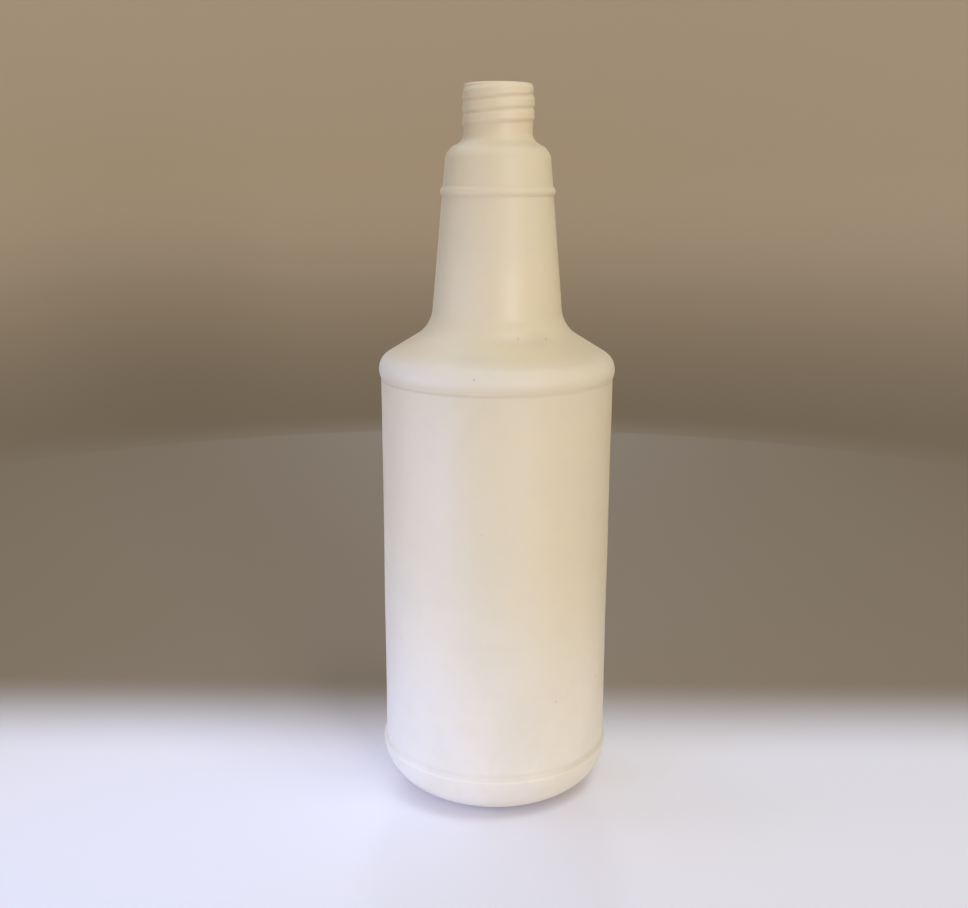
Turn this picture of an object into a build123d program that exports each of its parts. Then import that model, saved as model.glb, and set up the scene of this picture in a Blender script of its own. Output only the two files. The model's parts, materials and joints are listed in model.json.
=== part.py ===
"""Blow-moulded plastic bottle with a long tapering neck and a screw finish.

The bottle is one piece: a thin wall with a rounded heel, a recessed label
panel, a bulging shoulder, a conical grip neck with a bead, and a threaded
mouth. It stands on the plane z = 0 with its axis on Z, and the two halves of
its mould meet in the plane y = 0. Lengths are in millimetres and angles in
degrees.
"""

from build123d import *
import os
from math import acos, cos, radians, sin, sqrt, tan

# Overall height and width, and the wall of the body
overall_height = 263.5
band_diameter = 88.0
body_wall = 1.0

# Foot, with a push-up that keeps the bottle standing on a ring
foot_inner_diameter = 49.0
foot_inner_round = 1.6
push_up_diameter = 40.0
push_up_rim_height = 3.4
push_up_height = 4.6
push_up_round = 4.0

# Pinch-off, the seam left under the base where the mould closed
pinch_off_length = 34.0
pinch_off_width = 0.8
pinch_off_depth = 0.6

# Heel and the band above it
band_height = 16.6
band_round = 0.6
heel_round = 17.2
heel_lean = 3.6

# Label panel, set in from the band; what lies above it is measured down from the rim
panel_recess = 1.0
panel_foot_height = 18.4
panel_foot_round = 1.0
panel_top_depth = 103.8
panel_top_round = 0.4

# Shoulder, bulging out over the panel and then sloping up to the neck
shoulder_bulge = 0.7
shoulder_round = 6.9
shoulder_slope = 31.5

# Grip neck, a long cone with a bead
neck_foot_diameter = 48.4
neck_foot_round = 11.0
neck_top_diameter = 37.3
neck_top_depth = 22.7
neck_top_round = 5.6
neck_top_slope = 29.3
bead_depth = 36.8
bead_projection = 0.8
bead_round = 2.3

# Finish, the cylinder that carries the thread, and its bore
finish_diameter = 24.4
finish_wall = 1.8
finish_foot_round = 4.0
bore_foot_round = 2.0
rim_outer_round = 1.2
rim_inner_round = 0.3

# Thread, right-handed, lower where the mould halves meet
thread_pitch = 4.233
thread_turns = 2.76
thread_height = 1.0
thread_relief_share = 0.55
thread_whole_angle = 50.0
thread_foot_width = 3.7
thread_crest_width = 2.3
thread_crest_round = 0.3
thread_sink = 0.5
thread_top_depth = 1.66
thread_foot_angle = 110.0
thread_run_out_turns = 0.15
thread_tip_share = 0.35

# Part of every run of the outline that stays straight between its rounds
straight_share = 0.01

# Clearance by which a cutting shape runs past what it cuts
cut_overrun = 2.0


def directions(corners):
    """Unit direction of each straight run between two corners."""
    return [(Vector(b) - Vector(a)).normalized() for a, b in zip(corners, corners[1:])]


def turns(corners):
    """Signed angle by which the outline turns at each inner corner, left being positive."""
    runs = directions(corners)
    up = Vector(0, 0, 1)
    return [radians(a.get_signed_angle(b, up)) for a, b in zip(runs, runs[1:])]


def inset(corners, rounds, distance):
    """Moves every run of an outline to its left, and fits the corner rounds to it.

    The first corner lies on the axis and stays there.
    """
    runs = directions(corners)
    sides = [Vector(-run.Y, run.X) for run in runs]
    moved = [Vector(corners[0]) + Vector(0, distance / sides[0].Y)]
    for corner, before, after in zip(corners[1:-1], sides, sides[1:]):
        moved.append(Vector(corner) + (before + after) * (distance / (1 + before.dot(after))))
    moved.append(Vector(corners[-1]) + sides[-1] * distance)
    fitted = [
        max(size - distance, 0) if turn > 0 else size + distance
        for size, turn in zip(rounds, turns(corners))
    ]
    return [(point.X, point.Y) for point in moved], fitted


def rounded_path(corners, rounds):
    """Draws the outline, with each round no larger than its two runs leave room for."""
    legs = [0] + [size * tan(abs(turn) / 2) for size, turn in zip(rounds, turns(corners))] + [0]
    room = []
    for start, end, first_leg, last_leg in zip(corners, corners[1:], legs, legs[1:]):
        usable = (Vector(end) - Vector(start)).length * (1 - straight_share)
        room.append(usable / max(first_leg + last_leg, usable))
    fitted = [size * min(pair) for size, pair in zip(rounds, zip(room, room[1:]))]
    return FilletPolyline(*corners, radius=fitted)


# Radii and places that follow from the sizes above
foot_inner_radius = foot_inner_diameter / 2
push_up_radius = push_up_diameter / 2
band_radius = band_diameter / 2
heel_radius = band_radius - band_height * tan(radians(heel_lean))
panel_radius = band_radius - panel_recess
panel_top_height = overall_height - panel_top_depth
neck_top_height = overall_height - neck_top_depth
bead_height = overall_height - bead_depth
neck_foot_radius = neck_foot_diameter / 2
neck_top_radius = neck_top_diameter / 2
finish_radius = finish_diameter / 2
bore_radius = finish_radius - finish_wall
thread_radius = finish_radius + thread_height
relief_radius = finish_radius + thread_height * thread_relief_share

# The shoulder leaves the crease on an arc that bulges out by the named distance
shoulder_flare = acos(1 - shoulder_bulge / shoulder_round)
shoulder_turn = radians(90 - shoulder_slope) + shoulder_flare
shoulder_leg = shoulder_round * tan(shoulder_turn / 2)
shoulder_corner_radius = panel_radius + shoulder_leg * sin(shoulder_flare)
shoulder_corner_height = panel_top_height + shoulder_leg * cos(shoulder_flare)
shoulder_rise = (shoulder_corner_radius - neck_foot_radius) * tan(radians(shoulder_slope))
neck_foot_height = shoulder_corner_height + shoulder_rise
finish_rise = (neck_top_radius - finish_radius) * tan(radians(neck_top_slope))
finish_foot_height = neck_top_height + finish_rise

# Corners of the outside from the middle of the base to the foot of the finish,
# as distance from the axis and height, and the round at each corner but the ends
outside_corners = [
    (0, push_up_height),
    (push_up_radius, push_up_rim_height),
    (foot_inner_radius, 0),
    (heel_radius, 0),
    (band_radius, band_height),
    (panel_radius, panel_foot_height),
    (panel_radius, panel_top_height),
    (shoulder_corner_radius, shoulder_corner_height),
    (neck_foot_radius, neck_foot_height),
    (neck_top_radius, neck_top_height),
    (finish_radius, finish_foot_height),
]
outside_rounds = [
    push_up_round,
    foot_inner_round,
    heel_round,
    band_round,
    panel_foot_round,
    panel_top_round,
    shoulder_round,
    neck_foot_round,
    neck_top_round,
]

# The inside follows the outside at the wall's thickness, up to where it meets the bore
inside_corners, inside_rounds = inset(outside_corners, outside_rounds, body_wall)
inside_top_radius, inside_top_height = inside_corners[-2]
bore_foot_rise = (inside_top_radius - bore_radius) * tan(radians(neck_top_slope))
bore_foot_height = inside_top_height + bore_foot_rise
bore_top_height = overall_height + cut_overrun

# Underside of the push-up at the ends of the pinch-off
push_up_fall = (push_up_height - push_up_rim_height) / push_up_radius
pinch_off_reach = pinch_off_length / 2
pinch_off_end_height = push_up_height - push_up_fall * pinch_off_reach
pinch_off_sink = body_wall / 2

# Radius of the neck cone at the bead, and of the ring on which the bead's round is centred
neck_taper = (neck_foot_radius - neck_top_radius) / (neck_top_height - neck_foot_height)
bead_radius = neck_top_radius + neck_taper * (neck_top_height - bead_height)
bead_ring_radius = bead_radius + bead_projection - bead_round

# Helix at the foot of the thread, buried in the finish, from its lower end upwards
helix_radius = finish_radius - thread_sink
helix_rise = thread_pitch * thread_turns
helix_foot_height = overall_height - thread_top_depth - helix_rise
run_out_share = thread_run_out_turns / thread_turns

# Half width across the mould's opening direction of the oval that the crest is held to
whole_angle = radians(thread_whole_angle)
oval_part = 1 / thread_radius**2 - (cos(whole_angle) / relief_radius) ** 2
relief_half_width = sin(whole_angle) / sqrt(oval_part)


def thread_section(helix, share_along, size_share):
    """Cross-section of the ridge, square to the helix, for a sweep along it."""
    place = helix @ share_along
    outward = Vector(place.X, place.Y, 0).normalized()
    foot = thread_foot_width * size_share / 2
    crest = thread_crest_width * size_share / 2
    reach = thread_sink + thread_height * size_share
    with BuildSketch(Plane(origin=place, x_dir=outward, z_dir=helix % share_along)) as section:
        with BuildLine():
            Polyline((0, -foot), (reach, -crest), (reach, crest), (0, foot), close=True)
        make_face()
        fillet(section.vertices().group_by(Axis.X)[-1], radius=thread_crest_round * size_share)
    return section.sketch.face()


with BuildLine(Plane.XY.offset(helix_foot_height).rotated((0, 0, thread_foot_angle))) as helix_line:
    Helix(thread_pitch, helix_rise, helix_radius)

with BuildPart() as thread:
    helix = helix_line.edges()[0]
    lower_end = run_out_share
    upper_end = 1 - run_out_share
    full_lower = thread_section(helix, lower_end, 1)
    full_upper = thread_section(helix, upper_end, 1)
    tip_lower = thread_section(helix, 0, thread_tip_share)
    tip_upper = thread_section(helix, 1, thread_tip_share)
    sweep([tip_lower, full_lower], path=helix.trim(0, lower_end), multisection=True, is_frenet=True)
    sweep(full_lower, path=helix.trim(lower_end, upper_end), is_frenet=True)
    sweep([full_upper, tip_upper], path=helix.trim(upper_end, 1), multisection=True, is_frenet=True)
    # The crest is lower at the parting plane, and whole from a set angle on
    with BuildSketch(Plane.XY):
        Ellipse(relief_radius, relief_half_width)
    extrude(amount=overall_height, mode=Mode.INTERSECT)

with BuildPart() as bottle:
    # Solid outside
    with BuildSketch(Plane.XZ):
        with BuildLine():
            rounded_path(
                outside_corners + [(finish_radius, overall_height), (0, overall_height)],
                outside_rounds + [finish_foot_round, rim_outer_round],
            )
            Line((0, overall_height), (0, push_up_height))
        make_face()
    revolve(axis=Axis.Z)
    with BuildSketch(Plane.XZ):
        with Locations((bead_ring_radius, bead_height)):
            Circle(bead_round)
    revolve(axis=Axis.Z)
    add(thread.part)
    # Inside, with the bore
    with BuildSketch(Plane.XZ):
        with BuildLine():
            rounded_path(
                inside_corners[:-1]
                + [(bore_radius, bore_foot_height), (bore_radius, bore_top_height), (0, bore_top_height)],
                inside_rounds + [bore_foot_round, 0],
            )
            Line((0, bore_top_height), inside_corners[0])
        make_face()
    revolve(axis=Axis.Z, mode=Mode.SUBTRACT)
    # Inner edge of the rim
    rim_edges = bottle.edges().filter_by(GeomType.CIRCLE).group_by(Axis.Z)[-1]
    fillet(rim_edges.sort_by(SortBy.RADIUS)[0], radius=rim_inner_round)
    # Pinch-off under the push-up
    with BuildSketch(Plane.XZ):
        with BuildLine():
            Polyline(
                (-pinch_off_reach, pinch_off_end_height + pinch_off_sink),
                (-pinch_off_reach, pinch_off_end_height - pinch_off_depth),
                (0, push_up_height - pinch_off_depth),
                (pinch_off_reach, pinch_off_end_height - pinch_off_depth),
                (pinch_off_reach, pinch_off_end_height + pinch_off_sink),
                (0, push_up_height + pinch_off_sink),
                close=True,
            )
        make_face()
    extrude(amount=pinch_off_width / 2, both=True)

bottle.part.label = "bottle"

os.makedirs("parts", exist_ok=True)
export_step(bottle.part, "parts/bottle.step")
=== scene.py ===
"""Looks of a blow-moulded plastic bottle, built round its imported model.

One thin shell stands for the bottle's node: its outline is spun about the
axis, and then gets the thread, the mould's parting line, the pinch-off under
the base and the slight unevenness of a blown wall. Lengths are in metres.
"""

import json
from collections import namedtuple
from math import acos, atan2, ceil, cos, pi, radians, sin, tan

import bmesh
import bpy
from bpy.props import FloatProperty, FloatVectorProperty, IntProperty, PointerProperty
from mathutils import Matrix, Vector, noise


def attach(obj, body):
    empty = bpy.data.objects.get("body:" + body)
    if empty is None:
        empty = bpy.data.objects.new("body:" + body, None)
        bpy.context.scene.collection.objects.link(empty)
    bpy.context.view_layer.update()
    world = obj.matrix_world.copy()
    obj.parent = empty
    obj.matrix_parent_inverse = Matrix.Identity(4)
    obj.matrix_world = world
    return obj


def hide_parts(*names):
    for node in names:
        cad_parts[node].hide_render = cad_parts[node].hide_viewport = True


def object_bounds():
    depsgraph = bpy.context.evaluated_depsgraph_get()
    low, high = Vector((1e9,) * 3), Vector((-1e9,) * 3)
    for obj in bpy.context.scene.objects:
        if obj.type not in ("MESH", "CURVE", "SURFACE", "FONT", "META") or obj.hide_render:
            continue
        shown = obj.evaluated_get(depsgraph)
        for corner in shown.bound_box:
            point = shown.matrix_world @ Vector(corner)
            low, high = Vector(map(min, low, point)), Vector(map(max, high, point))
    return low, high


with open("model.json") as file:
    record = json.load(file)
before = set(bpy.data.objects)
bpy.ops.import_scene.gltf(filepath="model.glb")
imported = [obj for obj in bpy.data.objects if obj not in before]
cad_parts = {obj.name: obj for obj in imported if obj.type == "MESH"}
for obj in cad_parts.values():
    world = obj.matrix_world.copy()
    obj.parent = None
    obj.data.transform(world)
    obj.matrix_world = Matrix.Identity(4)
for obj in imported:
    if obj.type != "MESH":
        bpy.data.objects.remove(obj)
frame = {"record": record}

bl_info = {
    "name": "Plastic Bottle",
    "version": (1, 0, 0),
    "blender": (4, 5, 0),
    "location": "3D View > Sidebar > Bottle",
    "description": "Models a blow-moulded bottle with a screw finish, its plastic and its stage",
    "category": "Object",
}

MM = 0.001
MERGE_DISTANCE = 0.001 * MM
FLOOR_STEPS = 96
COVE_STEPS = 16

cad_lowest, cad_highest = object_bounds()
cad_reach = min(cad_highest.x, -cad_lowest.x)
mounts = {mount["name"]: mount for mount in frame["record"]["mounts"]}
bore_size = mounts["neck_bore"]["dims"]["r_mm"] * MM
thread_size = mounts["neck_thread"]["dims"]["r_mm"] * MM


def length(name, description, default):
    """A size that the user can change."""
    return FloatProperty(name=name, description=description, default=default, min=0, unit="LENGTH")


def angle(name, description, default):
    """An angle that the user can change, with its default in degrees."""
    return FloatProperty(
        name=name, description=description, default=radians(default), subtype="ANGLE"
    )


def share(name, description, default):
    """A share from 0 to 1 that the user can change."""
    return FloatProperty(
        name=name, description=description, default=default, min=0, max=1, subtype="FACTOR"
    )


def power(name, description, default):
    """A lamp's power that the user can change."""
    return FloatProperty(name=name, description=description, default=default, min=0, unit="POWER")


def number(name, description, default):
    """A number without a unit that the user can change."""
    return FloatProperty(name=name, description=description, default=default, min=0)


def count(name, description, default, least):
    """A whole number that the user can change."""
    return IntProperty(name=name, description=description, default=default, min=least)


def colour(name, description, default):
    """A colour that the user can change."""
    return FloatVectorProperty(
        name=name, description=description, default=default, size=3, min=0, max=1, subtype="COLOR"
    )


class BodySizes(bpy.types.PropertyGroup):
    """Sizes of the bottle from its foot to its shoulder."""

    height: length("Height", "Height of the whole bottle", cad_highest.z)
    band_radius: length("Band radius", "Radius of the widest circle, over the heel", cad_reach)
    wall: length("Wall", "Thickness of the blown wall", 1.0 * MM)
    foot_inner_radius: length("Foot ring", "Inner radius of the ring under the bottle", 24.5 * MM)
    foot_inner_round: length("Foot ring round", "Round inside the foot ring", 1.6 * MM)
    push_up_radius: length("Push-up radius", "Radius of the raised middle of the base", 20.0 * MM)
    push_up_rim_height: length("Push-up rim", "Height of the push-up's rim", 3.4 * MM)
    push_up_height: length("Push-up height", "Height of the push-up on the axis", 4.6 * MM)
    push_up_round: length("Push-up round", "Round at the push-up's rim", 4.0 * MM)
    band_height: length("Band height", "Height of the edge over the heel", 16.6 * MM)
    band_round: length("Band round", "Round on the band's edge", 0.6 * MM)
    heel_round: length("Heel round", "Round between the foot ring and the band", 17.2 * MM)
    heel_lean: angle("Heel lean", "Slope of the band's face", 3.6)
    panel_recess: length("Panel recess", "Depth of the label panel under the band", 1.0 * MM)
    panel_foot_height: length("Panel foot", "Height of the label panel's lower edge", 18.4 * MM)
    panel_foot_round: length("Panel foot round", "Round at the label panel's lower edge", 1.0 * MM)
    panel_top_depth: length("Panel top", "Depth of the panel's top edge below the rim", 103.8 * MM)
    panel_top_round: length("Panel top round", "Round in the crease under the shoulder", 0.4 * MM)
    shoulder_bulge: length("Shoulder bulge", "How far the shoulder overhangs the panel", 0.7 * MM)
    shoulder_round: length("Shoulder round", "Round of the shoulder's edge", 6.9 * MM)
    shoulder_slope: angle("Shoulder slope", "Slope of the shoulder above its round", 31.5)


class NeckSizes(bpy.types.PropertyGroup):
    """Sizes of the grip neck and its bead."""

    foot_radius: length("Foot radius", "Radius of the neck's cone at its foot", 24.2 * MM)
    foot_round: length("Foot round", "Round between the shoulder and the neck", 11.0 * MM)
    top_radius: length("Top radius", "Radius of the neck's cone at its top", 18.65 * MM)
    top_depth: length("Top depth", "Depth of the cone's top below the rim", 22.7 * MM)
    top_round: length("Top round", "Round at the cone's top", 5.6 * MM)
    top_slope: angle("Top slope", "Slope between the cone and the finish", 29.3)
    bead_depth: length("Bead depth", "Depth of the bead below the rim", 36.8 * MM)
    bead_height: length("Bead height", "How far the bead stands out", 0.8 * MM)
    bead_foot_width: length("Bead foot", "Width of the bead at its foot", 3.5 * MM)
    bead_crest_width: length("Bead crest", "Width of the bead's crest before its rounds", 1.4 * MM)
    bead_foot_round: length("Bead foot round", "Round at the bead's foot", 0.8 * MM)
    bead_crest_round: length("Bead crest round", "Round on the bead's crest", 2.0 * MM)


class FinishSizes(bpy.types.PropertyGroup):
    """Sizes of the threaded finish and its bore."""

    radius: length("Radius", "Radius of the finish at the thread's root", 12.2 * MM)
    foot_round: length("Foot round", "Round at the foot of the finish", 4.0 * MM)
    bore_radius: length("Bore radius", "Radius of the bore", bore_size)
    bore_foot_round: length("Bore foot round", "Round where the bore opens into the neck", 2.0 * MM)
    rim_outer_round: length("Rim outer round", "Round outside the rim", 1.4 * MM)
    rim_inner_round: length("Rim inner round", "Round inside the rim", 0.3 * MM)
    thread_radius: length("Thread radius", "Radius of the thread's crest", thread_size)
    thread_pitch: length("Thread pitch", "Rise of the thread in one turn", 4.233 * MM)
    thread_turns: number("Thread turns", "Number of turns of the thread", 2.76)
    thread_foot_width: length("Thread foot", "Width of the ridge at its foot", 5.2 * MM)
    thread_crest_width: length("Thread crest", "Width of the ridge's flat crest", 1.9 * MM)
    thread_top_depth: length("Thread top", "Depth of its upper end below the rim", 1.66 * MM)
    thread_foot_angle: angle("Thread foot angle", "Where the thread's lower end lies", 110.0)
    thread_run_out: number("Run-out", "Turns over which the ridge fades at each end", 0.2)
    thread_tip_share: share("Thread tips", "Part of the ridge's width left at its two ends", 0.4)
    relief_share: share("Relief", "Part of the ridge's height left at the parting line", 0.55)
    relief_angle: angle("Relief angle", "Angle at which the ridge is whole again", 50.0)


class WallDetail(bpy.types.PropertyGroup):
    """Fine detail that the mould and the blowing leave on the wall."""

    seam_height: length("Parting line height", "Height of the mould's parting line", 0.07 * MM)
    seam_width: length("Parting line width", "Width of the parting line", 0.6 * MM)
    seam_fade: length("Parting line fade", "Length over which it fades at foot and rim", 1.0 * MM)
    seam_angle: angle("Parting line band", "Angle about the line that is meshed finely", 2.4)
    pinch_length: length("Pinch-off length", "Length of the seam under the base", 34.0 * MM)
    pinch_width: length("Pinch-off width", "Width of the seam under the base", 1.0 * MM)
    pinch_depth: length("Pinch-off depth", "How far the seam under the base stands out", 0.6 * MM)
    sink_depth: length("Panel unevenness", "Greatest depth of the panel's unevenness", 0.16 * MM)
    sink_size: length("Unevenness size", "Size of the panel's uneven patches", 45.0 * MM)
    sink_fade: length("Unevenness fade", "Length over which it sets in from the edges", 12.0 * MM)
    row: length("Row height", "Height of a row of faces on the body", 5.0 * MM)
    thread_row: length("Thread row height", "Height of a row of faces on the finish", 0.15 * MM)
    hold: length("Held edge", "Width of the row of faces beside a round", 0.45 * MM)
    round_step: angle("Round step", "Greatest turn from one face to the next on a round", 6.0)
    half_turn_steps: count("Steps in half a turn", "Columns between the parting lines", 92, 8)
    seam_steps: count("Steps at the parting line", "Columns across the line's band", 8, 2)


class PlasticFinish(bpy.types.PropertyGroup):
    """Colours and gloss of the plastic, with its painted highlight and painted shade."""

    # The colour turns from the lower to the upper one with height: partly the plastic's own tone,
    # partly painted light, as the lower body is made lighter where light from the floor falls.
    upper: colour("Upper colour", "Plastic of the neck and shoulder", (0.742, 0.640, 0.457))
    lower: colour("Lower colour", "Plastic of the lower body", (0.850, 0.775, 0.668))
    mottle: colour("Mottle colour", "Greyer plastic in uneven patches", (0.650, 0.585, 0.450))
    # Painted highlight: a paler, cooler band on the shoulder's bulge, where the cool overhead light
    # is reflected.
    painted_highlight: colour("Rubbed colour", "Paler plastic on the shoulder's bulge", (0.800, 0.760, 0.715))
    # Painted shade: the dark colour laid in the crease under the shoulder and on the ledge over the
    # heel's band.
    shade_tone: colour("Grime colour", "Dust held in the creases", (0.330, 0.280, 0.200))
    speck: colour("Speck colour", "Dark specks on the plastic", (0.200, 0.160, 0.105))
    tone_rise: share("Tone change", "Part of the height over which the colour changes", 0.42)
    patch_share: share("Patches", "Strength of the broad greyer patches", 0.30)
    fine_share: share("Fine patches", "Strength of the fine greyer patches", 0.10)
    # Strength of the darker, greyer patches on the shoulder.
    shoulder_patch_share: share("Smudges", "Strength of the smudges on the shoulder", 0.35)
    speck_share: share("Specks", "Strength of the dark specks", 0.36)
    # Strengths of the painted highlight on the left and on the right.
    painted_highlight_left: share("Rubbed, left", "Strength of the rubbed colour on the left", 0.50)
    painted_highlight_right: share("Rubbed, right", "Strength of the rubbed colour on the right", 0.25)
    # Strengths of the painted shade in the crease, on the left and on the right.
    crease_shade_left: share("Crease dust, left", "Dust in the crease on the left", 0.22)
    crease_shade_right: share("Crease dust, right", "Dust in the crease on the right", 0.09)
    # Strengths of the painted shade on the ledge, on the left and on the right.
    ledge_shade_left: share("Ledge dust, left", "Dust over the band on the left", 0.04)
    ledge_shade_right: share("Ledge dust, right", "Dust over the band on the right", 0.10)
    # More painted shade in the crease and on the ledge where the greyer patches lie.
    patchy_shade: share("Patchy dust", "Further dust in the greyer patches", 0.08)
    subsurface: share("Subsurface", "How much of the light travels through the wall", 0.35)
    light_reach: length("Light's reach", "How far light travels in the plastic", 2.5 * MM)
    ior: number("Refraction", "Index of refraction of the plastic", 1.53)
    roughness: share("Roughness", "Roughness of the satin surface", 0.46)
    grain_strength: share("Grain", "Strength of the surface's fine grain", 0.25)
    grain_height: length("Grain height", "Height of the surface's fine grain", 0.02 * MM)


class StageSettings(bpy.types.PropertyGroup):
    """Floor, backdrop, lamps and camera."""

    floor: colour("Floor colour", "Colour of the pale floor", (0.890, 0.895, 0.995))
    # The backdrop gets lighter with height: its darker foot is painted shade.
    backdrop: colour("Backdrop colour", "Colour of the backdrop at its foot", (0.275, 0.225, 0.168))
    backdrop_top: colour("Backdrop top", "Colour of the backdrop higher up", (0.540, 0.440, 0.330))
    backdrop_rise: length("Backdrop rise", "Height over which the backdrop gets lighter", 0.24)
    turn_place: length("Tone change", "Where the floor's tone turns into the backdrop's", 0.045)
    turn_width: length("Tone change width", "Width over which the tone changes", 0.08)
    roughness: share("Stage roughness", "Roughness of the floor and the backdrop", 0.9)
    sheen: share("Stage sheen", "Strength of the reflections on them", 0.1)
    floor_radius: length("Floor radius", "Radius at which the floor starts to turn up", 0.65)
    cove_radius: length("Cove radius", "Radius of the turn between floor and backdrop", 0.25)
    backdrop_height: length("Backdrop height", "Height of the backdrop", 1.6)
    key_power: power("Key lamp", "Power of the lamp in front on the right", 7.85)
    top_power: power("Top lamp", "Power of the lamp overhead in front", 3.11)
    back_power: power("Back lamp", "Power of the cool lamp overhead behind", 3.26)
    rear_power: power("Rear lamp", "Power of the lamp far behind the backdrop", 46.0)
    low_power: power("Low lamp", "Power of the small cool lamp low in front on the left", 0.134)
    left_power: power("Left lamp", "Power of the small lamp low at the side on the left", 0.058)
    low_spread: angle("Low lamps' spread", "Width of the beams of the two low lamps", 60.0)
    low_aim: share("Low lamps' aim", "Height at which they point, as part of the bottle's", 0.22)
    world_colour: colour("Surrounding light's colour", "Light from all round", (1.0, 0.815, 0.42))
    world_level: number("Surrounding light", "Strength of the light from all round", 0.39)
    camera_distance: length("Camera distance", "Distance of the camera from the axis", 0.4216)
    camera_height: length("Camera height", "Height of the camera over the floor", 0.2294)
    camera_pitch: angle("Camera pitch", "How far the camera looks down", 13.30)
    camera_yaw: angle("Camera yaw", "How far the camera is turned to its left", 0.631)
    camera_roll: angle("Camera roll", "How far the camera leans to its left", 0.205)
    camera_lens: FloatProperty(
        name="Focal length", description="Focal length of the camera", default=42.58, unit="CAMERA"
    )
    camera_near: length("Camera's near limit", "Nearest distance that the camera sees", 10 * MM)


# Least part of a run of the outline that stays straight between its rounds
STRAIGHT_SHARE = 0.01

# Greatest part of that straight stretch that a held edge takes
HOLD_SHARE = 1 / 3
Corner = namedtuple("Corner", "radius height round row")

# Points this close to the finish's own radius, or nearer the axis, belong to the finish
FINISH_MARGIN = 0.05 * MM

# Where the pinch-off's flank ends, in half widths, and how far over the push-up it is looked for
PINCH_REACH = 1.5
PINCH_MARGIN = 1.0 * MM

# Unevenness of the panel: where its noise is centred, and the finer noise on the broad one
SINK_MIDDLE = 0.5
FINE_SINK_SCALE = 3
FINE_SINK_SHARE = 0.35

# Noise in the plastic: how many patches to a metre, and between which values a patch sets in
Patches = namedtuple("Patches", "scale detail distortion low high")
BROAD_PATCHES = Patches(22.0, 3.0, 0.6, 0.42, 0.72)
FINE_PATCHES = Patches(160.0, 2.0, 0.0, 0.45, 0.75)
GRAIN_SCALE = 900.0

# Bands in millimetres over the crease or the heel's band, for the painted highlight and the painted
# shade: start, full, end and gone
PAINTED_HIGHLIGHT_BAND = (1.0, 5.0, 7.0, 12.0)
CREASE_BAND = (-1.10, -0.40, -0.30, 0.40)
LEDGE_BAND = (0.3, 0.7, 2.0, 3.5)

# Half the width over which the strengths on the left turn into those on the right
SIDE_REACH = 30.0 * MM

# How much rougher the patches, and the places with painted shade, are than the bare plastic
BROAD_ROUGHNESS, FINE_ROUGHNESS, SHADE_ROUGHNESS = 0.10, -0.06, 0.2

# Depth of a speck against the grain's height, and how far light of each colour travels
SPECK_PIT = 3.0
COLOUR_REACH = (1.0, 0.82, 0.55)

# Where the soft edge of a mark starts and ends, as part of its size
SPECK_EDGE = (0.5, 1.4)
SHOULDER_PATCH_EDGE = (0.2, 1.0)

# Specks on the wall and faint, darker patches on the shoulder, in millimetres
Speck = namedtuple("Speck", "centre size")
SPECKS = (
    Speck((-4.8, -42.7, 110.7), 0.30),
    Speck((-34.9, -25.2, 65.1), 0.35),
    Speck((17.8, -39.2, 73.2), 0.30),
    Speck((38.2, -19.8, 48.4), 0.45),
    Speck((22.3, -36.8, 45.9), 0.42),
    Speck((-7.6, -42.6, 165.3), 0.42),
    Speck((17.2, -21.9, 176.4), 0.42),
    Speck((7.3, -26.2, 177.0), 0.36),
)
ShoulderPatch = namedtuple("ShoulderPatch", "centre half_width half_depth half_height")
SHOULDER_PATCHES = (
    ShoulderPatch((-8.8, -35.2, 171.2), 14.0, 8.0, 2.6),
    ShoulderPatch((14.0, -24.5, 176.6), 11.0, 9.0, 3.4),
    ShoulderPatch((30.0, -20.0, 171.5), 16.0, 22.0, 5.0),
)

# What a lamp points at and how wide its beam is, and the lamp itself
Aim = namedtuple("Aim", "target spread")
Lamp = namedtuple("Lamp", "place aim size tint")


def runs_of(corners):
    """The straight runs between the corners, as vectors in distance from the axis and height."""
    places = [Vector((corner.radius, corner.height)) for corner in corners]
    return [end - start for start, end in zip(places, places[1:])]


def turns_of(corners):
    """Signed angle by which the outline turns at each inner corner, left being positive."""
    runs = runs_of(corners)
    return [atan2(a.cross(b), a.dot(b)) for a, b in zip(runs, runs[1:])]


def legs_of(corners):
    """Length that each corner's round takes from its runs, no more than they leave room for."""
    turns = [0, *turns_of(corners), 0]
    legs = [corner.round * tan(abs(turn) / 2) for corner, turn in zip(corners, turns)]
    room = []
    for run, first, last in zip(runs_of(corners), legs, legs[1:]):
        usable = run.length * (1 - STRAIGHT_SHARE)
        room.append(usable / max(first + last, usable))
    return [leg * min(pair) for leg, pair in zip(legs, zip([1, *room], [*room, 1]))]


def inset(corners, distance):
    """Moves an outline to its left. Its first corner lies on the axis and stays there."""
    sides = [Vector((-run.y, run.x)).normalized() for run in runs_of(corners)]
    shifts = [Vector((0, distance / sides[0].y))]
    for before, after in zip(sides, sides[1:]):
        shifts.append((before + after) * (distance / (1 + before.dot(after))))
    shifts.append(sides[-1] * distance)
    moved = []
    for corner, shift, turn in zip(corners, shifts, [0, *turns_of(corners), 0]):
        fitted = max(corner.round - distance, 0) if turn > 0 else corner.round + distance
        moved.append(Corner(corner.radius + shift.x, corner.height + shift.y, fitted, corner.row))
    return moved


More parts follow.
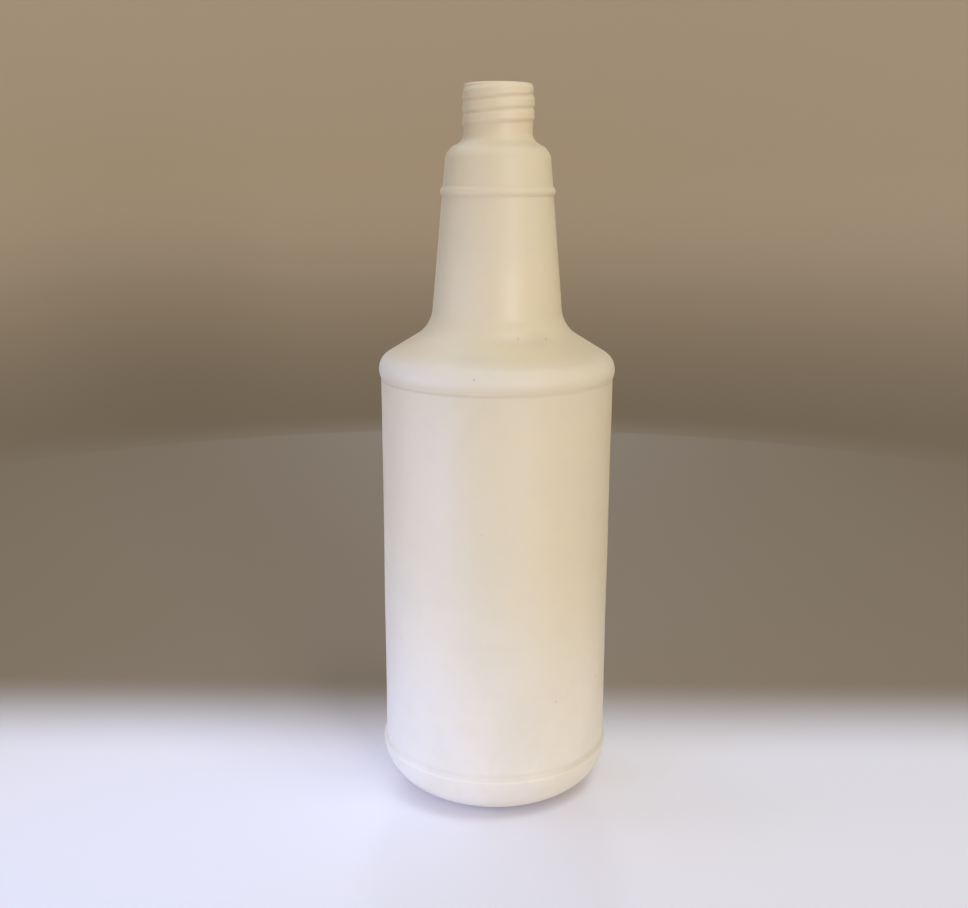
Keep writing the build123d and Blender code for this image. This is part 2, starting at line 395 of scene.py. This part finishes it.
def draw_outline(corners, detail):
    """Draws an outline in the plane y = 0, with a round at each corner but its ends.

    A corner's row is the height of the rows on the run that follows it.
    """
    mesh = bmesh.new()
    legs = legs_of(corners)
    points = [mesh.verts.new((corner.radius, 0, corner.height)) for corner in corners]
    for index, corner in enumerate(corners[:-1]):
        start, end = points[index], points[index + 1]
        run = (end.co - start.co).length
        hold = min(detail.hold, (run - legs[index] - legs[index + 1]) * HOLD_SHARE)
        first, last = legs[index] + hold, run - legs[index + 1] - hold
        rows = ceil((last - first) / corner.row)
        before = start
        for row in range(rows + 1):
            along = (first + (last - first) * row / rows) / run
            point = mesh.verts.new(start.co.lerp(end.co, along))
            mesh.edges.new((before, point))
            before = point
        mesh.edges.new((before, end))
    for point, leg, turn in zip(points, legs, [0, *turns_of(corners), 0]):
        if leg > 0:
            bmesh.ops.bevel(
                mesh,
                geom=[point],
                offset=leg,
                offset_type="OFFSET",
                segments=ceil(abs(turn) / detail.round_step),
                profile=0.5,
                affect="VERTICES",
                material=-1,
            )
    return mesh


def spin_outline(corners, detail):
    """Spins an outline once round the axis, with narrow columns at the two parting lines."""
    mesh = draw_outline(corners, detail)
    band = detail.seam_angle
    half_back = Matrix.Rotation(-band / 2, 3, "Z")
    bmesh.ops.rotate(mesh, verts=mesh.verts, cent=(0, 0, 0), matrix=half_back)
    section = mesh.verts[:] + mesh.edges[:]
    for turned, steps in ((band, detail.seam_steps), (pi - band, detail.half_turn_steps)) * 2:
        spun = bmesh.ops.spin(
            mesh,
            geom=section,
            cent=(0, 0, 0),
            axis=(0, 0, 1),
            angle=turned,
            steps=steps,
            use_merge=False,
            use_duplicate=False,
        )
        section = spun["geom_last"]
    close_up(mesh)
    return mesh


def close_up(mesh):
    """Merges what meets and turns every face outwards."""
    bmesh.ops.remove_doubles(mesh, verts=mesh.verts, dist=MERGE_DISTANCE)
    bmesh.ops.recalc_face_normals(mesh, faces=mesh.faces)


def joined(mesh, other):
    """Adds another mesh to a mesh, and closes the seam between them."""
    carried = bpy.data.meshes.new("carried")
    other.to_mesh(carried)
    other.free()
    mesh.from_mesh(carried)
    bpy.data.meshes.remove(carried)
    close_up(mesh)


def wall_corners(body, neck, finish, detail):
    """Corners of the outside without the bead, from the middle of the base to the finish."""
    band_radius = body.band_radius - detail.seam_height
    heel_radius = band_radius - body.band_height * tan(body.heel_lean)
    panel_radius = band_radius - body.panel_recess
    panel_top_height = body.height - body.panel_top_depth
    flare = acos(1 - body.shoulder_bulge / body.shoulder_round)
    leg = body.shoulder_round * tan((radians(90) - body.shoulder_slope + flare) / 2)
    shoulder_radius = panel_radius + leg * sin(flare)
    shoulder_height = panel_top_height + leg * cos(flare)
    shoulder_rise = (shoulder_radius - neck.foot_radius) * tan(body.shoulder_slope)
    neck_foot_height = shoulder_height + shoulder_rise
    neck_top_height = body.height - neck.top_depth
    finish_foot_height = neck_top_height + (neck.top_radius - finish.radius) * tan(neck.top_slope)
    places = [
        (0, body.push_up_height, 0),
        (body.push_up_radius, body.push_up_rim_height, body.push_up_round),
        (body.foot_inner_radius, 0, body.foot_inner_round),
        (heel_radius, 0, body.heel_round),
        (band_radius, body.band_height, body.band_round),
        (panel_radius, body.panel_foot_height, body.panel_foot_round),
        (panel_radius, panel_top_height, body.panel_top_round),
        (shoulder_radius, shoulder_height, body.shoulder_round),
        (neck.foot_radius, neck_foot_height, neck.foot_round),
        (neck.top_radius, neck_top_height, neck.top_round),
        (finish.radius, finish_foot_height, finish.foot_round),
    ]
    return [Corner(*place, detail.row) for place in places]


def bead_corners(foot, top, body, neck, detail):
    """Corners of the bead on the cone between its foot and top corners."""
    middle = body.height - neck.bead_depth
    corners = []
    for width, out, fitted in (
        (-neck.bead_foot_width, 0, neck.bead_foot_round),
        (-neck.bead_crest_width, neck.bead_height, neck.bead_crest_round),
        (neck.bead_crest_width, neck.bead_height, neck.bead_crest_round),
        (neck.bead_foot_width, 0, neck.bead_foot_round),
    ):
        height = middle + width / 2
        up = (height - foot.height) / (top.height - foot.height)
        cone = foot.radius + (top.radius - foot.radius) * up
        corners.append(Corner(cone + out, height, fitted, detail.row))
    return corners


def outside_corners(body, neck, finish, detail):
    """Corners of the outside, from the middle of the base to the middle of the rim."""
    *below, foot, top, finish_foot = wall_corners(body, neck, finish, detail)
    return [
        *below,
        foot,
        *bead_corners(foot, top, body, neck, detail),
        top,
        finish_foot._replace(row=detail.thread_row),
        Corner(finish.radius, body.height, finish.rim_outer_round, detail.row),
        Corner((finish.radius + finish.bore_radius) / 2, body.height, 0, detail.row),
    ]


def inside_corners(body, neck, finish, detail):
    """Corners of the inside, from the middle of the base to the middle of the rim."""
    *below, top, _ = inset(wall_corners(body, neck, finish, detail), body.wall)
    bore_foot_height = top.height + (top.radius - finish.bore_radius) * tan(neck.top_slope)
    return [
        *below,
        top,
        Corner(finish.bore_radius, bore_foot_height, finish.bore_foot_round, detail.row),
        Corner(finish.bore_radius, body.height, finish.rim_inner_round, detail.row),
        Corner((finish.radius + finish.bore_radius) / 2, body.height, 0, detail.row),
    ]


def smooth(value):
    """Eases from 0 to 1 as the value does, and stays there outside."""
    value = min(max(value, 0), 1)
    return value * value * (3 - 2 * value)


def from_parting_plane(point):
    """Angle of a point about the axis, measured from the parting plane y = 0."""
    return atan2(abs(point.y), abs(point.x))


def thread_rise(point, body, finish):
    """How far the thread's ridge stands out at a point of the finish."""
    rise = finish.thread_pitch * finish.thread_turns
    foot = body.height - finish.thread_top_depth - rise
    first_turn = ((atan2(point.y, point.x) - finish.thread_foot_angle) / (2 * pi)) % 1
    relieved = smooth(from_parting_plane(point) / finish.relief_angle)
    height = finish.relief_share + (1 - finish.relief_share) * relieved
    flank = (finish.thread_foot_width - finish.thread_crest_width) / 2
    raised = 0
    for whole in range(ceil(finish.thread_turns)):
        turn = first_turn + whole
        to_end = min(turn, finish.thread_turns - turn)
        size = smooth(to_end / finish.thread_run_out)
        if size > 0:
            apart = abs(point.z - foot - finish.thread_pitch * turn)
            width = finish.thread_tip_share + (1 - finish.thread_tip_share) * size
            inside = finish.thread_foot_width / 2 * width - apart
            raised += size * smooth(inside / flank)
    return min(raised, 1) * height * (finish.thread_radius - finish.radius)


def raise_thread(points, body, finish):
    """Moves the finish's points out to the thread's ridge, which fades into the rim's round."""
    for point in points:
        if Vector(point.co.xy).length < finish.radius + FINISH_MARGIN:
            below_rim = smooth((body.height - point.co.z) / finish.rim_outer_round)
            out = below_rim * thread_rise(point.co, body, finish)
            point.co.xy *= 1 + out / finish.radius


def raise_seam(points, body, detail):
    """Raises the fine line where the mould's halves met, but not on the foot ring."""
    for point in points:
        across = abs(point.co.y) / (detail.seam_width / 2)
        along = min(point.co.z, body.height - point.co.z) / detail.seam_fade
        if across < 1 and along > 0:
            point.co += point.normal * detail.seam_height * (1 - across) * smooth(along)


def raise_pinch_off(points, body, detail):
    """Raises the seam under the base, where the mould nipped the plastic shut."""
    top = body.push_up_height + PINCH_MARGIN
    for point in points:
        if point.co.z < top and Vector(point.co.xy).length < body.push_up_radius:
            across = PINCH_REACH - abs(point.co.y) / (detail.pinch_width / 2)
            along = (detail.pinch_length / 2 - abs(point.co.x)) / detail.pinch_width
            point.co.z -= detail.pinch_depth * smooth(across) * smooth(along)


def settle_panel(points, body, detail):
    """Gives the label panel the slight unevenness of a blown wall, always inwards."""
    top = body.height - body.panel_top_depth
    for point in points:
        edge = min(point.co.z - body.panel_foot_height, top - point.co.z) / detail.sink_fade
        if edge > 0:
            place = point.co / detail.sink_size
            fine = noise.noise(FINE_SINK_SCALE * place)
            patch = noise.noise(place) + FINE_SINK_SHARE * fine
            depth = detail.sink_depth * smooth(edge) * smooth(SINK_MIDDLE + patch)
            point.co.xy *= 1 - depth / Vector(point.co.xy).length


class Socket:
    """A number in a material, on which sums are written as Python expressions."""

    def __init__(self, shader, link):
        self.shader = shader
        self.link = link

    def sum(self, operation, first, second):
        return self.shader.node("ShaderNodeMath", {"operation": operation}, {0: first, 1: second})

    def __add__(self, other):
        return self.sum("ADD", self, other)

    __radd__ = __add__

    def __sub__(self, other):
        return self.sum("SUBTRACT", self, other)

    def __rsub__(self, other):
        return self.sum("SUBTRACT", other, self)

    def __mul__(self, other):
        return self.sum("MULTIPLY", self, other)

    __rmul__ = __mul__

    def ease(self, low, high):
        """Eases from 0 at the low value to 1 at the high one."""
        return self.shader.node(
            "ShaderNodeMapRange",
            {"interpolation_type": "SMOOTHSTEP"},
            {"Value": self, "From Min": low, "From Max": high},
        )

    def band(self, start, full, end, gone):
        """Eases from 0 to 1 and back to 0 between four values that are given in millimetres."""
        return self.ease(start * MM, full * MM) * (1 - self.ease(end * MM, gone * MM))

    def between(self, first, second):
        """The first number where this one is 0, and the second where it is 1."""
        return first + (second - first) * self


class Shader:
    """A material and the nodes in it."""

    def __init__(self, name):
        self.material = bpy.data.materials.new(name)
        self.material.use_nodes = True
        self.tree = self.material.node_tree
        self.tree.nodes.clear()

    def node(self, kind, settings=None, inputs=None, output=0):
        """Adds a node with its settings and then its inputs, and returns one of its outputs."""
        made = self.tree.nodes.new(kind)
        for name, value in (settings or {}).items():
            setattr(made, name, value)
        for key, value in (inputs or {}).items():
            if isinstance(value, Socket):
                self.tree.links.new(value.link, made.inputs[key])
            else:
                made.inputs[key].default_value = value
        return Socket(self, made.outputs[output]) if made.outputs else None

    def place(self):
        """Where the surface is, in the object's own coordinates."""
        return self.node("ShaderNodeTexCoord", output="Object")

    def apart(self, vector):
        """The three numbers of a vector."""
        kind = "ShaderNodeSeparateXYZ"
        return [self.node(kind, inputs={0: vector}, output=axis) for axis in range(3)]

    def noise(self, place, scale, detail=2.0, distortion=0.0):
        """Soft noise from 0 to 1."""
        inputs = {"Vector": place, "Scale": scale, "Detail": detail, "Distortion": distortion}
        return self.node("ShaderNodeTexNoise", {"normalize": True}, inputs)

    def patches(self, place, sort):
        """1 in soft patches and 0 between them."""
        spots = self.noise(place, sort.scale, sort.detail, sort.distortion)
        return spots.ease(sort.low, sort.high)

    def mix(self, factor, first, second):
        """A colour between two others."""
        inputs = {0: factor, 6: first, 7: second}
        return self.node("ShaderNodeMix", {"data_type": "RGBA"}, inputs, output=2)

    def stretched(self, place, scale):
        """A place with each of its three numbers scaled."""
        return self.node("ShaderNodeMapping", inputs={"Vector": place, "Scale": scale})

    def distance(self, place, centre):
        """Distance of a place from a fixed point."""
        return self.node(
            "ShaderNodeVectorMath", {"operation": "DISTANCE"}, {0: place, 1: centre}, output="Value"
        )

    def specks(self, place, specks):
        """1 on each small speck and 0 around it."""
        mask = 0
        for speck in specks:
            size = speck.size * MM
            away = self.distance(place, Vector(speck.centre) * MM)
            near, far = SPECK_EDGE
            mask = mask + (1 - away.ease(near * size, far * size))
        return mask

    def shoulder_patches(self, place, shoulder_patches):
        """1 in the middle of each patch, fading to 0 at its edge."""
        mask = 0
        for shoulder_patch in shoulder_patches:
            half = Vector((shoulder_patch.half_width, shoulder_patch.half_depth, shoulder_patch.half_height)) * MM
            centre = Vector(shoulder_patch.centre) * MM
            scale = Vector([1 / size for size in half])
            away = self.distance(self.stretched(place, scale), centre * scale)
            mask = mask + (1 - away.ease(*SHOULDER_PATCH_EDGE))
        return mask

    def surface(self, settings):
        """Ends the material in one plastic shader."""
        method = {"subsurface_method": "RANDOM_WALK"}
        shaded = self.node("ShaderNodeBsdfPrincipled", method, settings)
        self.node("ShaderNodeOutputMaterial", inputs={"Surface": shaded})
        return self.material


def opaque(rgb):
    """A colour with its alpha."""
    return (*rgb, 1.0)


def natural_plastic(body, finish):
    """Satin, slightly translucent plastic with faint patches and specks. A highlight on the
    shoulder's bulge, shade in the crease and on the ledge, and part of the lower body's lighter
    tone are painted light.
    """
    shader = Shader("natural_plastic")
    place = shader.place()
    across, _, height = shader.apart(place)
    to_right = across.ease(-SIDE_REACH, SIDE_REACH)
    over_crease = height - (body.height - body.panel_top_depth)
    over_band = height - body.band_height

    # Partly painted light: the lower body is made lighter where light from the floor falls; partly
    # the plastic's own tone.
    rise = height.ease(0, finish.tone_rise * body.height)
    tone = shader.mix(rise, opaque(finish.lower), opaque(finish.upper))
    broad = shader.patches(place, BROAD_PATCHES)
    fine = shader.patches(place, FINE_PATCHES)
    shoulder_patches = shader.shoulder_patches(place, SHOULDER_PATCHES)
    mottled = finish.patch_share * broad + finish.fine_share * fine + finish.shoulder_patch_share * shoulder_patches
    tone = shader.mix(mottled, tone, opaque(finish.mottle))
    # Painted highlight: the shoulder's bulge is made paler and cooler where the overhead light is
    # reflected, more on the left.
    painted_highlight = over_crease.band(*PAINTED_HIGHLIGHT_BAND)
    painted_highlight = painted_highlight * to_right.between(finish.painted_highlight_left, finish.painted_highlight_right)
    tone = shader.mix(painted_highlight, tone, opaque(finish.painted_highlight))

    # Painted shade in the crease under the shoulder, more on the left.
    crease = over_crease.band(*CREASE_BAND)
    crease = crease * to_right.between(finish.crease_shade_left, finish.crease_shade_right)
    # Painted shade on the ledge over the heel's band, more on the right.
    ledge = over_band.band(*LEDGE_BAND)
    ledge_shade = ledge * to_right.between(finish.ledge_shade_left, finish.ledge_shade_right)
    painted_shade = crease + ledge_shade + finish.patchy_shade * broad * (crease + ledge)
    tone = shader.mix(painted_shade, tone, opaque(finish.shade_tone))
    specks = shader.specks(place, SPECKS)
    tone = shader.mix(finish.speck_share * specks, tone, opaque(finish.speck))

    roughness = finish.roughness + BROAD_ROUGHNESS * broad + FINE_ROUGHNESS * fine
    grain = {
        "Strength": finish.grain_strength,
        "Distance": finish.grain_height,
        "Height": shader.noise(place, GRAIN_SCALE) - SPECK_PIT * specks,
    }
    return shader.surface(
        {
            "Base Color": tone,
            "Roughness": roughness + SHADE_ROUGHNESS * painted_shade,
            "Normal": shader.node("ShaderNodeBump", inputs=grain),
            "IOR": finish.ior,
            "Subsurface Weight": finish.subsurface,
            "Subsurface Radius": COLOUR_REACH,
            "Subsurface Scale": finish.light_reach,
        }
    )


def made_object(name, mesh, material):
    """Makes a smooth-shaded object of a mesh."""
    data = bpy.data.meshes.new(name)
    mesh.to_mesh(data)
    mesh.free()
    data.materials.append(material)
    data.polygons.foreach_set("use_smooth", [True] * len(data.polygons))
    made = bpy.data.objects.new(name, data)
    bpy.context.scene.collection.objects.link(made)
    return made


def finished_piece(name, mesh, material):
    """Makes an object of a closed mesh, which stands for the bottle's node."""
    open_edges = [edge for edge in mesh.edges if not edge.is_manifold]
    if open_edges:
        raise RuntimeError(f"{name} has {len(open_edges)} edges that aren't closed")
    piece = made_object(name, mesh, material)
    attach(piece, "root")
    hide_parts("bottle")
    return piece


class BOTTLE_OT_build_shell(bpy.types.Operator):
    """Models the bottle's wall with its thread, parting line and pinch-off"""

    bl_idname = "bottle.build_shell"
    bl_label = "Build the bottle"

    def execute(self, context):
        scene = context.scene
        body, neck, finish = scene.bottle_body, scene.bottle_neck, scene.bottle_finish
        detail, plastic = scene.bottle_detail, scene.bottle_plastic
        mesh = spin_outline(outside_corners(body, neck, finish, detail), detail)
        raise_thread(mesh.verts, body, finish)
        settle_panel(mesh.verts, body, detail)
        mesh.normal_update()
        raise_seam(mesh.verts, body, detail)
        raise_pinch_off(mesh.verts, body, detail)
        joined(mesh, spin_outline(inside_corners(body, neck, finish, detail), detail))
        finished_piece("bottle_shell", mesh, natural_plastic(body, plastic))
        return {"FINISHED"}


def stage_material(name, settings):
    """Matt material of the stage, pale in front and turning into the backdrop's tone behind."""
    shader = Shader(name)
    _, along, height = shader.apart(shader.place())
    half = settings.turn_width / 2
    behind = along.ease(settings.turn_place - half, settings.turn_place + half)
    # Painted shade: the backdrop is darker towards its foot.
    higher = height.ease(0, settings.backdrop_rise)
    wall = shader.mix(higher, opaque(settings.backdrop), opaque(settings.backdrop_top))
    tone = shader.mix(behind, opaque(settings.floor), wall)
    matt = {"Roughness": settings.roughness, "Specular IOR Level": settings.sheen}
    return shader.surface({"Base Color": tone, **matt})


def stage_piece(name, mesh, material):
    """Makes an object that belongs to the stage."""
    piece = made_object(name, mesh, material)
    return piece


def soft_lamp(name, plan, watts):
    """A soft round lamp that points at its aim."""
    data = bpy.data.lights.new(name, "AREA")
    data.shape = "DISK"
    data.size = plan.size
    data.energy = watts
    data.spread = plan.aim.spread
    data.color = plan.tint
    lamp = bpy.data.objects.new(name, data)
    lamp.location = plan.place
    ray = Vector(plan.aim.target) - Vector(plan.place)
    lamp.rotation_euler = ray.to_track_quat("-Z", "Y").to_euler()
    bpy.context.scene.collection.objects.link(lamp)


class BOTTLE_OT_build_stage(bpy.types.Operator):
    """Lays the floor and the backdrop, and sets the lamps and the camera"""

    bl_idname = "bottle.build_stage"
    bl_label = "Build the stage"

    def execute(self, context):
        scene = context.scene
        settings = scene.bottle_stage
        self.lay_floor(settings)
        self.set_lamps(scene, settings)
        self.set_camera(scene, settings)
        return {"FINISHED"}

    def lay_floor(self, settings):
        """Floor and backdrop, in one tone that turns from one into the other."""
        reach = settings.floor_radius
        wall = reach + settings.cove_radius
        material = stage_material("stage_paint", settings)
        floor = bmesh.new()
        bmesh.ops.create_circle(floor, cap_ends=True, segments=FLOOR_STEPS, radius=reach)
        stage_piece("floor", floor, material)
        backdrop = bmesh.new()
        foot = backdrop.verts.new((reach, 0, 0))
        corner = backdrop.verts.new((wall, 0, 0))
        top = backdrop.verts.new((wall, 0, settings.backdrop_height))
        for pair in ((foot, corner), (corner, top)):
            backdrop.edges.new(pair)
        bmesh.ops.bevel(
            backdrop,
            geom=[corner],
            offset=settings.cove_radius,
            offset_type="OFFSET",
            segments=COVE_STEPS,
            profile=0.5,
            affect="VERTICES",
            material=-1,
        )
        bmesh.ops.spin(
            backdrop,
            geom=backdrop.verts[:] + backdrop.edges[:],
            cent=(0, 0, 0),
            axis=(0, 0, 1),
            angle=2 * pi,
            steps=FLOOR_STEPS,
            use_merge=True,
        )
        bmesh.ops.remove_doubles(backdrop, verts=backdrop.verts, dist=MERGE_DISTANCE)
        wall_piece = stage_piece("backdrop", backdrop, material)
        wall_piece.visible_diffuse = False
        wall_piece.visible_shadow = False

    def set_lamps(self, scene, settings):
        """Lamps in front, overhead, behind and low on the left, and light from all round."""
        middle = Aim((0, 0, 0.5 * cad_highest.z), pi)
        foot = Aim((0, 0, settings.low_aim * cad_highest.z), settings.low_spread)
        lamps = {
            "key": Lamp((0.628, -1.346, 0.338), middle, 0.42, (1.0, 0.955, 0.99)),
            "top": Lamp((0.30, -0.30, 1.04), middle, 0.45, (0.78, 0.86, 1.0)),
            "back": Lamp((-0.35, 0.24, 1.04), middle, 0.85, (0.47, 0.615, 1.0)),
            "rear": Lamp((0, 3.0, 0.35), middle, 0.6, (0.79, 0.86, 1.0)),
            "low": Lamp((-0.38, -0.30, 0.08), foot, 0.15, (0.285, 0.46, 1.0)),
            "left": Lamp((-0.45, -0.05, 0.12), foot, 0.15, (0.69, 0.69, 1.0)),
        }
        for name, plan in lamps.items():
            soft_lamp(f"{name}_lamp", plan, getattr(settings, f"{name}_power"))
        world = bpy.data.worlds.new("studio_light")
        scene.world = world
        world.use_nodes = True
        sky = world.node_tree.nodes["Background"]
        sky.inputs["Color"].default_value = opaque(settings.world_colour)
        sky.inputs["Strength"].default_value = settings.world_level

    def set_camera(self, scene, settings):
        """The camera at the photograph's place, looking a little down at the bottle."""
        data = bpy.data.cameras.new("camera")
        data.lens = settings.camera_lens
        data.clip_start = settings.camera_near
        camera = bpy.data.objects.new("camera", data)
        scene.collection.objects.link(camera)
        place = Matrix.Translation((0, -settings.camera_distance, settings.camera_height))
        yaw = Matrix.Rotation(settings.camera_yaw, 4, "Z")
        pitch = Matrix.Rotation(radians(90) - settings.camera_pitch, 4, "X")
        roll = Matrix.Rotation(settings.camera_roll, 4, "Z")
        camera.matrix_world = place @ yaw @ pitch @ roll
        scene.camera = camera
        scene.view_settings.view_transform = "Standard"


class BOTTLE_PT_panel(bpy.types.Panel):
    """Lists the bottle's steps in the 3D view's sidebar"""

    bl_label = "Plastic Bottle"
    bl_idname = "BOTTLE_PT_panel"
    bl_space_type = "VIEW_3D"
    bl_region_type = "UI"
    bl_category = "Bottle"

    def draw(self, context):
        for step in STEPS:
            self.layout.operator(step.bl_idname)


SETTINGS = {
    "bottle_body": BodySizes,
    "bottle_neck": NeckSizes,
    "bottle_finish": FinishSizes,
    "bottle_detail": WallDetail,
    "bottle_plastic": PlasticFinish,
    "bottle_stage": StageSettings,
}
STEPS = (BOTTLE_OT_build_shell, BOTTLE_OT_build_stage)


def register():
    """Registers the settings, the steps and the panel."""
    for name, group in SETTINGS.items():
        bpy.utils.register_class(group)
        setattr(bpy.types.Scene, name, PointerProperty(type=group))
    for step in STEPS:
        bpy.utils.register_class(step)
    bpy.utils.register_class(BOTTLE_PT_panel)


def unregister():
    """Takes away what register adds."""
    bpy.utils.unregister_class(BOTTLE_PT_panel)
    for step in reversed(STEPS):
        bpy.utils.unregister_class(step)
    for name, group in SETTINGS.items():
        delattr(bpy.types.Scene, name)
        bpy.utils.unregister_class(group)


def main():
    """Builds the bottle and its stage."""
    register()
    bpy.ops.bottle.build_shell()
    bpy.ops.bottle.build_stage()


if __name__ == "__main__":
    main()
